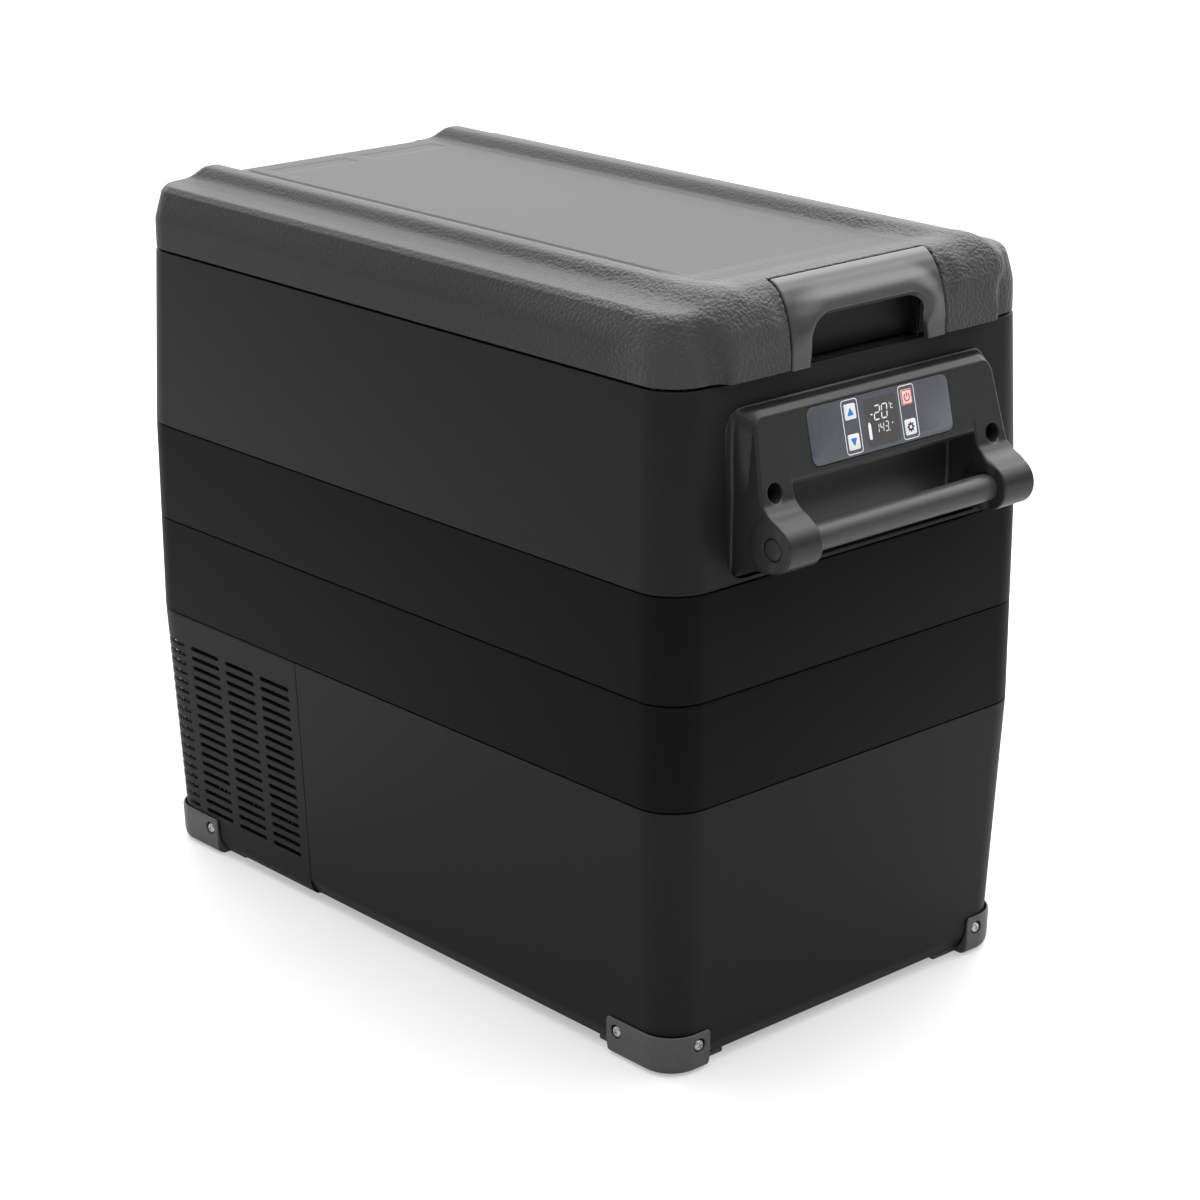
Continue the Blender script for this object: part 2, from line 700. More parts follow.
foot_path = fillet([(0, LOWER_TOP - SEAM / 2, 1.0), (lean(UNDER_Z + 13), UNDER_Z + 13, 14),
                    (FOOT_INSET + 7, UNDER_Z, 8), (40, UNDER_Z)], steps=6, closed=False)
inner_path = [(WALL, LOWER_TOP - SEAM / 2), (FOOT_INSET + WALL, UNDER_Z + 12),
              (FOOT_INSET + 8 + WALL, UNDER_Z + WALL), (40, UNDER_Z + WALL)]
lower_profile = list(foot_path[::-1]) + [(1.0, LOWER_TOP - SEAM / 2)] + inner_path
lower_shell = loft("lower_shell_skin", [cabinet_ring(inset, z) for inset, z in lower_profile])
vent_block = prism("vent_block", round_rectangle((HALF_L + VENT_X + SEAM + 20) / 2, HALF_W + 20, 1)
                   + ((VENT_X + SEAM - HALF_L - 20) / 2, 0), "z", -10, LOWER_TOP + 20)
combine(lower_shell, vent_block)
settle(lower_shell, shell_plastic, "cabinet", "shell_grey", "lower_shell")


# ---- Vent cover: a wall of slots that wraps round the rear corners ----

SLOT_ROWS = 18
SLOT_PITCH = 8.06
SLOT_TOP = 171.5
SLOT_H = 3.3
SLOT_L = 36.4
SLOT_BAR = 9.0
CORNER_SLOT = 43.2
REAR_COLUMNS = 5
SOCKET_LOW, SOCKET_HIGH = span("power_socket")
SOCKET_Z = (SOCKET_LOW[2] + SOCKET_HIGH[2]) / 2

side_run = HALF_L - CORNER_R + VENT_X
corner_run = CORNER_R * math.pi / 2
rear_run = 2 * (HALF_W - CORNER_R)
whole_run = 2 * (side_run + corner_run) + rear_run


def wall_point(along, up, depth):
    """Point of the cover's wall: along runs from one side's front edge round the rear to the other's."""
    if up >= UNDER_Z + 12:
        inset, z, slope = lean(up), up, 0
    else:
        share = np.clip((UNDER_Z + 12 - up) / 14, 0, 1)
        slope = share * math.pi / 2
        inset = lean(UNDER_Z + 12) + 9 * (1 - math.cos(slope)) + max(UNDER_Z - 2 - up, 0)
        z = UNDER_Z + 12 * (1 - math.sin(slope))
    inset += max(up - LOWER_TOP + SEAM / 2 + 1, 0) * 0.7 + depth * math.cos(slope)
    z += depth * math.sin(slope)
    radius = max(CORNER_R - LEAN_R * inset, 2)
    mid_x, mid_y = HALF_L - inset - radius, HALF_W - inset - radius
    far = along > whole_run / 2
    along = whole_run - along if far else along
    if along < side_run:
        x, y = VENT_X - (mid_x + VENT_X) * along / side_run, -(mid_y + radius)
    elif along < side_run + corner_run:
        angle = (along - side_run) / CORNER_R
        x, y = -mid_x - radius * math.sin(angle), -mid_y - radius * math.cos(angle)
    else:
        x, y = -(mid_x + radius), -mid_y * (1 - 2 * (along - side_run - corner_run) / rear_run)
    return (x, -y if far else y, z)


def slot_columns():
    """(start, end, lowest slot) of each column of slots along the wall."""
    step = SLOT_L + SLOT_BAR
    side = [(SLOT_BAR + 1.5 + i * step, SLOT_BAR + 1.5 + i * step + SLOT_L, 0) for i in range(3)]
    corner = (side[-1][1] + SLOT_BAR, side_run + corner_run + CORNER_SLOT - CORNER_R, 0)
    rear_l = (2 * HALF_W - 2 * CORNER_SLOT - (REAR_COLUMNS + 1) * SLOT_BAR) / REAR_COLUMNS
    start = side_run + corner_run + CORNER_SLOT - CORNER_R + SLOT_BAR
    rear = [(start + i * (rear_l + SLOT_BAR), start + i * (rear_l + SLOT_BAR) + rear_l,
             100 if i == REAR_COLUMNS // 2 else 0) for i in range(REAR_COLUMNS)]
    far = [(whole_run - b, whole_run - a, low) for a, b, low in [corner] + side[::-1]]
    return side + [corner] + rear + far


class Wall:
    """Collects the cover's points and faces on its outer and inner side."""

    def __init__(self):
        self.points, self.faces, self.known = [], [], {}

    def point(self, along, up, depth):
        key = (round(along, 3), round(up, 3), depth)
        if key not in self.known:
            self.known[key] = len(self.points)
            self.points.append(wall_point(along, up, depth))
        return self.known[key]

    def patch(self, loop):
        """The same patch on both sides of the wall."""
        self.faces.append([self.point(*at, 0) for at in loop])
        self.faces.append([self.point(*at, WALL) for at in reversed(loop)])

    def edge(self, path):
        """Closes the wall's thickness along a path."""
        for a, b in zip(path, path[1:]):
            self.faces.append([self.point(*b, 0), self.point(*a, 0),
                               self.point(*a, WALL), self.point(*b, WALL)])

    def slot(self, knots, low, high, start, end):
        """One cell of the wall with a round-ended slot through it."""
        mid, half = (low + high) / 2, SLOT_H / 2
        inner = knots[1:-1]
        cell = ([(u, low) for u in knots] + [(knots[-1], mid)] + [(u, high) for u in knots[::-1]]
                + [(knots[0], mid)])
        diagonal = half * math.sqrt(0.5)
        lower = [(start + half - diagonal, -diagonal)] + [(u, -half) for u in inner]
        lower += [(end - half + diagonal, -diagonal)]
        hole = lower + [(end, 0)] + [(u, -v) for u, v in lower[::-1]] + [(start, 0)]
        centre = (start + end) / 2

        def rim(grow, depth):
            spread = 1 + 2 * grow / (end - start)
            rise = 1 + grow / half
            return [self.point(centre + (u - centre) * spread, mid + v * rise, depth) for u, v in hole]

        loops = [[self.point(u, v, 0) for u, v in cell], rim(0.35, 0), rim(0, 0.35), rim(0, WALL),
                 [self.point(u, v, WALL) for u, v in cell]]
        for outer, inner_loop in zip(loops, loops[1:]):
            for i in range(len(hole)):
                j = (i + 1) % len(hole)
                self.faces.append([outer[i], outer[j], inner_loop[j], inner_loop[i]])


def vent_cover():
    wall = Wall()
    columns = slot_columns()
    borders = [0] + [(a[1] + b[0]) / 2 for a, b in zip(columns, columns[1:])] + [whole_run]
    rows = [SLOT_TOP - i * SLOT_PITCH for i in range(SLOT_ROWS)]
    row_low = rows[-1] - SLOT_PITCH / 2
    above = [LOWER_TOP - SEAM / 2, LOWER_TOP - SEAM / 2 - 1, rows[0] + SLOT_PITCH / 2]
    foot = [row_low, UNDER_Z + 12] + [UNDER_Z + 12 - i * 2 for i in range(1, 8)] + [UNDER_Z - 24]
    fronts = []
    for (start, end, lowest), left, right in zip(columns, borders, borders[1:]):
        inner_l = end - start - SLOT_H
        cuts = max(2, int(inner_l / 6)) if start > side_run - SLOT_L or lowest else 2
        knots = [left] + [start + SLOT_H / 2 + inner_l * i / cuts for i in range(cuts + 1)] + [right]
        for high, low in list(zip(above, above[1:])) + list(zip(foot, foot[1:])):
            for a, b in zip(knots, knots[1:]):
                wall.patch([(a, low), (b, low), (b, high), (a, high)])
        for row in rows:
            low, high = row - SLOT_PITCH / 2, row + SLOT_PITCH / 2
            if row > lowest:
                wall.slot(knots, low, high, start, end)
            else:
                for a, b in zip(knots, knots[1:]):
                    wall.patch([(a, low), (b, low)] + ([(b, row)] if b == right else [])
                               + [(b, high), (a, high)] + ([(a, row)] if a == left else []))
        fronts += knots[:-1]
    fronts.append(whole_run)
    wall.edge([(u, above[0]) for u in fronts])
    wall.edge([(u, foot[-1]) for u in fronts[::-1]])
    heights = above[:-1] + [v for row in rows for v in (row + SLOT_PITCH / 2, row)] + foot
    wall.edge([(0, v) for v in heights])
    wall.edge([(whole_run, v) for v in heights])
    cover = outward(raw("vent_cover_skin", wall.points, wall.faces))
    hole = circle(SOCKET_HIGH[1] * 0.6) + (0, SOCKET_Z)
    combine(cover, prism("socket_hole", hole, "x", -HALF_L - 5, -HALF_L + 25))
    return settle(cover, shell_plastic, "cabinet", "shell_grey", "vent_cover")


vent_cover()


SCREEN_DEPTH = (6.4, 7.0)
SCREEN_LOW, SCREEN_HIGH = 29, 177
SCREEN_STEP = 8
SOCKET_GAP = 25


def vent_screen(name, start, end, low, high):
    """Thin dust screen standing a little behind the slots, so the bay stays dark from outside."""
    runs = np.linspace(start, end, max(3, int((end - start) / SCREEN_STEP)))
    rows = np.linspace(low, high, 4)
    sides = [[[wall_point(u, v, depth) for v in rows] for u in runs] for depth in SCREEN_DEPTH]
    points = [at for side in sides for run in side for at in run]
    tall, count = len(rows), len(runs) * len(rows)
    faces = []
    for i in range(len(runs) - 1):
        for j in range(tall - 1):
            a = i * tall + j
            faces.append([a, a + tall, a + tall + 1, a + 1])
            faces.append([count + a, count + a + 1, count + a + tall + 1, count + a + tall])
    rim = ([i * tall for i in range(len(runs))] + [(len(runs) - 1) * tall + j for j in range(1, tall)]
           + [i * tall + tall - 1 for i in range(len(runs) - 2, -1, -1)] + list(range(tall - 2, 0, -1)))
    for a, b in zip(rim, rim[1:] + rim[:1]):
        faces.append([b, a, count + a, count + b])
    settle(outward(raw(name, points, faces)), dark_plastic, "cabinet", "black_plastic")


middle_run = whole_run / 2
vent_screen("vent_screen_left", 3, middle_run - SOCKET_GAP, SCREEN_LOW, SCREEN_HIGH)
vent_screen("vent_screen_right", middle_run + SOCKET_GAP, whole_run - 3, SCREEN_LOW, SCREEN_HIGH)
vent_screen("vent_screen_middle", middle_run - SOCKET_GAP + 0.5, middle_run + SOCKET_GAP - 0.5,
            SOCKET_HIGH[2] + 5, SCREEN_HIGH)


# ---- Corner guards ----

def inset_at(x, y):
    """Distance inwards from the cabinet's upright outline."""
    return -rectangle_field(x, y, HALF_L, HALF_W, CORNER_R)


GUARD_LOW, GUARD_HIGH = span("guard_front_right")
GUARD_X, GUARD_Y = 230.0, 131.0
PAD_X, PAD_Y = GUARD_LOW[0], GUARD_LOW[1]
PAD_INSET = 18.0
GUARD_TOP = GUARD_HIGH[2]
GUARD_OUT = HALF_W - GUARD_HIGH[1]
guard_outer = outline_field(fillet([
    (GUARD_OUT + 6.6, 0, 3), (GUARD_OUT + 1.6, 2.5, 5), (GUARD_OUT + 0.6, 8, 8), (GUARD_OUT, GUARD_TOP - 1.8, 2),
    (GUARD_OUT + 1.0, GUARD_TOP, 0.9), (90, GUARD_TOP), (90, 0)]))
shell_outer = outline_field(np.array(list(foot_path) + [(90, UNDER_Z), (90, LOWER_TOP)]))
SCREW_X, SCREW_Y, SCREW_Z = 240.0, 141.0, 20.0
RECESS_R = 5.2


def guard_field(x, y, z):
    inset = inset_at(x, y)
    side_end = meet(GUARD_X - x, z - GUARD_TOP, 4)
    face_end = meet(GUARD_Y - y, z - GUARD_TOP, 4)
    pads = np.minimum(np.maximum(PAD_X - x, GUARD_Y - 4 - y), np.maximum(GUARD_X - x, PAD_Y - y))
    pads = np.maximum(pads, PAD_INSET - inset)
    plan = np.minimum(np.maximum(side_end, face_end), meet(pads, z - UNDER_Z, 0.8))
    shape = meet(guard_outer(inset, z), plan, 0.9)
    shape = meet(shape, 0.2 - shell_outer(inset, z), 0.5)
    side_hole = np.maximum(np.hypot(x - SCREW_X, z - SCREW_Z) - RECESS_R, HALF_W - FOOT_INSET + 0.3 - y)
    face_hole = np.maximum(np.hypot(y - SCREW_Y, z - SCREW_Z) - RECESS_R, HALF_L - FOOT_INSET + 0.3 - x)
    return meet(meet(shape, -side_hole, 0.7), -face_hole, 0.7)


guard = sculpt("guard_form", guard_field, (PAD_X - 2, PAD_Y - 2, -1.5),
               (HALF_L - 3, HALF_W - 3, GUARD_TOP + 1.5), FINE_GRID)
for name, signs in (("guard_front_left", (1, -1, 1)), ("guard_front_right", (1, 1, 1)),
                    ("guard_rear_left", (-1, -1, 1)), ("guard_rear_right", (-1, 1, 1))):
    settle(mirrored(name + "_skin", guard, signs), guard_plastic, "cabinet", "guard_grey", name)
bpy.data.objects.remove(guard)


# ---- Screws ----

def screw(name, head_r, head_h, length):
    """Pan-head screw with a cross recess, its seat at the origin and its head along +Z."""
    body = lathe(name, [(0.02, head_h), (head_r * 0.35, head_h * 0.98), (head_r * 0.7, head_h * 0.84),
                        (head_r * 0.92, head_h * 0.5), (head_r, head_h * 0.15), (head_r * 0.98, 0),
                        (head_r * 0.45, 0), (head_r * 0.45, -length), (0.02, -length - 0.6)], 32)
    arm, slit = head_r * 0.52, head_r * 0.11
    for turn in (0, 90):
        cut = prism("slit", round_rectangle(arm, slit, slit * 0.6, 3), "z", head_h * 0.35, head_h + 1)
        combine(body, moved(cut, rotation=Matrix.Rotation(math.radians(turn + 20), 4, "Z")))
    return body


def facing(axis):
    """Rotation that turns +Z to an axis."""
    return Vector(axis).to_track_quat("Z", "Y").to_matrix().to_4x4()


def placed(name, obj, axis, place):
    copy = bpy.data.objects.new(name, obj.data.copy())
    bpy.context.scene.collection.objects.link(copy)
    return moved(copy, place, facing(axis))


small_screw = screw("small_screw", 4.0, 1.8, 4.5)
seat = HALF_W - FOOT_INSET + 0.6
end_seat = HALF_L - FOOT_INSET + 0.6
heads = [placed("head", small_screw, (0, sy, 0), (sx * SCREW_X, sy * seat, SCREW_Z))
         for sx in (1, -1) for sy in (1, -1)]
heads += [placed("head", small_screw, (sx, 0, 0), (sx * end_seat, sy * SCREW_Y, SCREW_Z))
          for sx in (1, -1) for sy in (1, -1)]
bpy.data.objects.remove(small_screw)
settle(join("guard_screw_heads", heads), steel, "cabinet", "steel", "guard_screws")


# ---- Handle bezels at both ends ----

BEZEL_BACK = span("control_bezel")[0][0]
BEZEL_FACE = BEZEL_BACK + 7
ARM_IN, ARM_OUT, ARM_R = 88.0, 119.0, 16.5
HOLE_Y, HOLE_Z = 105.0, 412.6
PANEL_TOP, PANEL_LOW = (310.0, 461.0), (320.3, 417.5)
TILT = math.atan2(PANEL_LOW[0] - PANEL_TOP[0], PANEL_TOP[1] - PANEL_LOW[1])
PANEL_Z = 440.6
PANEL_X = PANEL_TOP[0] + (PANEL_TOP[1] - PANEL_Z) * math.tan(TILT)
PLUG_R = 7.6

arm_side = outline_field(fillet([
    (BEZEL_BACK, BEZEL_LOW), (BEZEL_FACE + 1, BEZEL_LOW), (304, 357, 3), (316, 361.5, 8),
    (BAR_X - 4, BAR_Z - 15.6, 6), (BAR_X, BAR_Z), (BAR_X + 2, BAR_Z + 15, 6), (329.5, 400.5, 9), (323.4, 406.5, 9),
    (PANEL_LOW[0] + 1.4, 412, 10), (*PANEL_TOP, 2.5), (305.5, BEZEL_HIGH - 1, 3), (BEZEL_BACK, BEZEL_HIGH - 1)]))
panel_side = outline_field(fillet([
    (BEZEL_BACK, 415), (BEZEL_FACE + 6, 413.5, 4), (PANEL_LOW[0] - 3.5, 413.5, 3), (PANEL_LOW[0], 416.5, 3),
    (*PANEL_TOP, 2.5), (305.5, BEZEL_HIGH - 1, 3), (BEZEL_BACK, BEZEL_HIGH - 1)]))
raised_plan = outline_field(fillet([(-ARM_OUT, 335), (ARM_OUT, 335), (ARM_OUT, 402, 6), (113, 464.5, 14),
                                    (-113, 464.5, 14), (-ARM_OUT, 402, 6)], steps=8))


def on_panel(x, y, z):
    """Coordinates along, up and out of the sloping panel."""
    up = (z - PANEL_Z) * math.cos(TILT) - (x - PANEL_X) * math.sin(TILT)
    out = (x - PANEL_X) * math.cos(TILT) + (z - PANEL_Z) * math.sin(TILT)
    return y, up, out


def bracket_field(x, y, z):
    away = np.abs(y)
    back = rectangle_field(y, z - (BEZEL_HIGH + BEZEL_LOW) / 2, BEZEL_HALF + 0.4,
                           (BEZEL_HIGH - BEZEL_LOW) / 2 + 0.4, 15.4)
    back = meet(back, np.abs(x - BEZEL_BACK - 3.5) - 3.5, 0.6)
    arm = meet(arm_side(x, z), np.maximum(ARM_IN - away, away - ARM_OUT), 1.5)
    round_end = meet(np.hypot(x - BAR_X, z - BAR_Z) - ARM_R, np.maximum(ARM_IN - away, away - ARM_OUT), 1.5)
    arm = blend(arm, round_end, 7)
    panel = np.maximum(panel_side(x, z), away - ARM_IN - 4)
    raised = np.minimum(arm, panel)
    draft = np.clip(PANEL_TOP[0] - 1 - x, 0, 20) * 0.52 * smooth(z, 404, 436)
    raised = meet(raised, raised_plan(y, z) - draft, 1.8)
    shape = blend(back, raised, 2.2)
    shape = np.maximum(shape, np.maximum(BEZEL_BACK - x, away - BEZEL_HALF - 0.4))
    access = np.maximum(np.hypot(away - HOLE_Y, z - HOLE_Z) - 6.4, BEZEL_FACE - x)
    shape = meet(shape, -access, 1.0)
    shape = np.maximum(shape, 2.6 - np.hypot(away - HOLE_Y, z - HOLE_Z))
    bar = np.hypot(x - BAR_X, z - BAR_Z)
    shape = np.maximum(shape, -np.maximum(bar - BAR_R - 0.1, away - ARM_OUT + 4))
    return meet(shape, PLUG_R - bar, 0.5)


def control_field(x, y, z):
    across, up, out = on_panel(x, y, z)
    film = np.maximum(rectangle_field(across, up, 67.7, 19.7, 6), -1 - out)
    board = np.maximum(rectangle_field(across, up, 60, 16, 3), -7 - out)
    return np.maximum(np.maximum(bracket_field(x, y, z), -film), -board)


bezel_low = (BEZEL_BACK - 2, -BEZEL_HALF - 2, BEZEL_LOW - 2)
bezel_high = (BAR_X + ARM_R + 2, BEZEL_HALF + 2, BEZEL_HIGH + 2)
settle(sculpt("control_bezel_skin", control_field, bezel_low, bezel_high, BEZEL_GRID), satin_plastic,
       "cabinet", "handle_grey", "control_bezel")
bracket = sculpt("bracket_form", bracket_field, bezel_low, bezel_high, BRACKET_GRID)
settle(mirrored("rear_bracket_skin", bracket, (-1, 1, 1)), satin_plastic,
       "cabinet", "handle_grey", "rear_bracket")
bpy.data.objects.remove(bracket)

half_bar = BAR_HIGH[1]
bar_form = lathe("bar_form", [(BAR_R - 1, -half_bar), (BAR_R, -half_bar + 1), (BAR_R, -60), (BAR_R, 0),
                              (BAR_R, 60), (BAR_R, half_bar - 1), (BAR_R - 1, half_bar)], 72)
plug_form = lathe("plug_form", [(PLUG_R - 0.5, 0), (PLUG_R - 0.15, 0.4), (PLUG_R - 0.15, 2.9),
                                (PLUG_R - 0.6, 3.35), (PLUG_R - 1.6, 3.6), (PLUG_R * 0.5, 3.62), (0.02, 3.62)])
deep_screw = screw("deep_screw", 5.0, 3.0, 9)
for side, front in (("front", 1), ("rear", -1)):
    settle(placed(side + "_bar_skin", bar_form, (0, 1, 0), (front * BAR_X, 0, BAR_Z)), bar_coating,
           "cabinet", "bar_grey", side + "_bar")
    plugs = [placed("plug", plug_form, (0, sy, 0), (front * BAR_X, sy * (ARM_OUT - 3.8), BAR_Z))
             for sy in (1, -1)]
    settle(join(side + "_plug_caps", plugs), satin_plastic, "cabinet", "handle_grey", side + "_bar_plugs")
    heads = [placed("head", deep_screw, (front, 0, 0), (front * (BEZEL_FACE + 0.1), sy * HOLE_Y, HOLE_Z))
             for sy in (1, -1)]
    settle(join(side + "_deep_screws", heads), steel, "cabinet", "steel",
           "bezel_screws" if front > 0 else "rear_screws")
for form in (bar_form, plug_form, deep_screw):
    bpy.data.objects.remove(form)


# ---- Display, keys and printed marks ----

def panel_matrix(across, up, out=0.0):
    """Places a shape drawn in the plane of the panel, its Z outwards."""
    normal = Vector((math.cos(TILT), 0, math.sin(TILT)))
    rise = Vector((-math.sin(TILT), 0, math.cos(TILT)))
    origin = Vector((PANEL_X, 0, PANEL_Z)) + Vector((0, 1, 0)) * across + rise * up + normal * out
    turn = Matrix((Vector((0, 1, 0)), rise, normal)).transposed().to_4x4()
    return Matrix.Translation(origin * MM) @ turn


def on_face(obj, across=0.0, up=0.0, out=0.0):
    obj.data.transform(panel_matrix(across, up, out))
    return obj


def plate(outline, thick=0.12, hole=None):
    """Thin flat shape, with an optional hole, its underside at zero."""
    if hole is None:
        return prism("plate", outline, "z", 0, thick)
    rings = [flat_ring(outline, 0), flat_ring(outline, thick), flat_ring(hole, thick), flat_ring(hole, 0)]
    return loft("plate", rings, closed=True)


OVERLAY_TOP = 0.2
KEY_ACROSS = (-28.0, 26.4)
KEY_UP = (10.3, -9.9)
KEY_SIZE = 10.6

film = prism("display_film", round_rectangle(67.4, 19.4, 5.8), "z", -0.95, OVERLAY_TOP, 0.25)
for across in KEY_ACROSS:
    for up in KEY_UP:
        window = round_rectangle(KEY_SIZE / 2 + 0.3, KEY_SIZE / 2 + 0.3, 1.6, 6) + (across, up)
        combine(film, prism("window", window, "z", -3, 3))
settle(on_face(film), overlay_film, "cabinet", "overlay", "display_overlay")

screen = plate(round_rectangle(15.5, 16.2, 2.5, 5), 0.05)
screen.name = "display_screen"
settle(on_face(screen, 0.8, -0.6, OVERLAY_TOP), display_black, "cabinet", "overlay")

marks = []
for across in KEY_ACROSS:
    key_frame = plate(round_rectangle(7.7, 18.2, 2.4, 6), 0.12, round_rectangle(7.15, 17.65, 1.9, 6))
    marks.append(on_face(key_frame, across, 0.3, OVERLAY_TOP))

SEGMENTS = {"2": "abged", "0": "abcdef", "1": "bc", "4": "fgbc", "3": "abgcd", "-": "g"}
DIGIT_LEAN = 0.12
INK_OUT = OVERLAY_TOP + 0.04


def digit(figure, wide, tall, thick):
    """Seven-segment figure, its lower left corner at the origin."""
    half = tall / 2
    places = {"a": (wide / 2, tall, 1), "b": (wide, half * 1.5, 0), "c": (wide, half * 0.5, 0),
              "d": (wide / 2, 0, 1), "e": (0, half * 0.5, 0), "f": (0, half * 1.5, 0), "g": (wide / 2, half, 1)}
    parts = []
    for segment in SEGMENTS[figure]:
        u, v, flat = places[segment]
        long = (wide if flat else half) / 2 - thick * 0.35
        tip = thick / 2
        outline = np.array([(long, 0), (long - tip, tip), (tip - long, tip), (-long, 0), (tip - long, -tip),
                            (long - tip, -tip)])
        if not flat:
            outline = outline[:, ::-1]
        outline = outline + (u, v)
        outline[:, 0] += outline[:, 1] * DIGIT_LEAN
        parts.append(plate(outline, 0.1))
    return join("digit", parts)


def write(figures, across, up, wide, tall, thick, gap):
    """Row of figures from a lower left corner."""
    done = []
    for figure in figures:
        if figure == ".":
            done.append(on_face(plate(circle(thick * 0.7, 12), 0.1), across - gap * 0.35, up, INK_OUT))
            continue
        if figure == "1":
            across -= wide * 0.55
        done.append(on_face(digit(figure, wide, tall, thick), across, up, INK_OUT))
        across += wide + gap
    return done


marks += write("-", -10.6, 0.2, 3.0, 9.2, 0.9, 1.6)
marks += write("20", -6.3, 0.7, 5.0, 9.2, 0.95, 2.0)
marks += write("143.", -5.0, -8.3, 2.9, 6.2, 0.65, 1.7)
turns = np.linspace(0.9, 2 * math.pi - 0.9, 14)
bow = np.stack([1.5 * np.cos(turns), 1.7 * np.sin(turns)], 1)
unit_letter = np.concatenate([bow, 0.62 * bow[::-1]])
for outline, hole, across, up in (
        (circle(0.75, 16), circle(0.45, 16), 9.6, 9.4), (circle(0.5, 16), None, 10.1, -3.9),
        (round_rectangle(1.35, 5.3, 0.9, 4), None, -11.8, -6.2),
        (round_rectangle(0.7, 0.4, 0.2, 3), None, -11.8, -0.5), (unit_letter, None, 11.2, 7.2)):
    marks.append(on_face(plate(outline, 0.1, hole), across, up, INK_OUT))
settle(join("display_marks", marks), print_white, "cabinet", "overlay")

CAP_TOP = 0.55
cap = prism("key_form", round_rectangle(KEY_SIZE / 2, KEY_SIZE / 2, 1.3, 6), "z", -1, CAP_TOP, 0.3)
stem = prism("stem", circle(2.5, 24), "z", -2.4, -0.9)
combine(cap, stem, "UNION")
icons = {
    "key_up": (KEY_ACROSS[0], KEY_UP[0], "up_key", print_blue),
    "key_down": (KEY_ACROSS[0], KEY_UP[1], "down_key", print_blue),
    "key_power": (KEY_ACROSS[1], KEY_UP[0], "power_key", print_red),
    "key_settings": (KEY_ACROSS[1], KEY_UP[1], "settings_key", print_dark),
}


def arc(radius, thick, start, end):
    angles = np.radians(np.linspace(start, end, 20))
    line = np.stack([np.cos(angles), np.sin(angles)], 1)
    return np.concatenate([(radius + thick / 2) * line, (radius - thick / 2) * line[::-1]])


def icon(node):
    """Printed mark of a key, drawn round its middle."""
    if node == "key_up":
        return plate(fillet([(-3.0, -2.6, 0.5), (3.0, -2.6, 0.5), (0, 3.0, 0.5)]), 0.1)
    if node == "key_down":
        return plate(fillet([(-3.0, 2.6, 0.5), (0, -3.0, 0.5), (3.0, 2.6, 0.5)]), 0.1)
    if node == "key_power":
        bar = plate(round_rectangle(0.42, 1.7, 0.35, 4) + (0, 1.6), 0.1)
        ring = plate(arc(2.5, 0.85, 125, 415), 0.1)
        frame_line = plate(round_rectangle(5.0, 5.0, 1.1, 4), 0.1, round_rectangle(4.35, 4.35, 0.7, 4))
        return join("power_mark", [bar, ring, frame_line])
    teeth = []
    for i in range(8):
        for turn, radius in ((-13, 2.5), (-9, 3.4), (9, 3.4), (13, 2.5)):
            angle = math.radians(45 * i + turn)
            teeth.append((radius * math.cos(angle), radius * math.sin(angle)))
    teeth = np.array(teeth)
    hole = teeth / np.hypot(*teeth.T)[:, None] * 1.3
    return plate(teeth, 0.1, hole)


for node, (across, up, body, ink) in icons.items():
    top = mirrored(node + "_cap", cap, (1, 1, 1))
    settle(on_face(top, across, up), power_cap if node == "key_power" else key_cap, body, "key_white", node)
    mark = on_face(icon(node), across, up, CAP_TOP)
    mark.name = node + "_mark"
    settle(mark, ink, body, "key_white")
bpy.data.objects.remove(cap)


# ---- Latch handle ----

PIVOT_X, PIVOT_Z = 284.0, 535.0
LID_BOTTOM = LID_LOW[2]
FRONT_CURVE = [(303.9, 498, 30), (302.6, 508, 30), (300.2, 518, 30), (296.4, 527, 20), (291.5, 534.5, 15)]
grip_side = outline_field(fillet([(304, LID_BOTTOM)] + FRONT_CURVE + [
    (286.5, 539.4, 12), (280.9, 541.8, 1.2), (280.9, 531, 1), (290, 526, 8), (296.5, 514, 20), (299, 498),
    (299.2, LID_BOTTOM)]))
cheek_side = outline_field(fillet([
    (291.6, 486.5, 1), (291.6, 492.5), (293, 496), (293, 524, 3), (285, 530, 1), (285, 536, 1), (291, 531),
    (296, 522), (300, 508), (302, 486.5, 1)]))
finger_plan = outline_field(fillet([(-56.5, 470), (56.5, 470), (56.2, 487, 12), (48.5, 515.8, 15),
                                    (-48.5, 515.8, 15), (-56.2, 487, 12)], steps=8))


def latch_field(x, y, z):
    away = np.abs(y)
    gap = finger_plan(y, z)
    hood = 4.2 * (1 - smooth(gap, 7.5, 24)) * smooth(z, 492, 511) * (1 - smooth(z, 526, 540))
    face = meet(grip_side(x - hood, z), away - GRIP_HALF, 1.5)
    cheek = np.maximum(cheek_side(x, z), np.abs(away - 64.5) - 6.5)
    shape = np.minimum(face, cheek)
    flare = np.clip(x - 300.4, 0, 20) * 1.05 * smooth(z, 489, 505)
    shape = meet(shape, flare - gap, 1.0)
    spring_gap = np.maximum(np.hypot(x - PIVOT_X, z - PIVOT_Z + 0.6) - 3.6, np.abs(y - 46) - 7)
    return np.maximum(np.maximum(shape, 2.1 - np.hypot(x - PIVOT_X, z - PIVOT_Z)), -spring_gap)


latch = sculpt("latch_handle_skin", latch_field, (279, -GRIP_HALF - 2, LID_BOTTOM - 2),
               (311, GRIP_HALF + 2, 544), FINE_GRID)
settle(latch, grip_plastic, "latch", "handle_grey", "latch_handle")


# ---- Lid ----

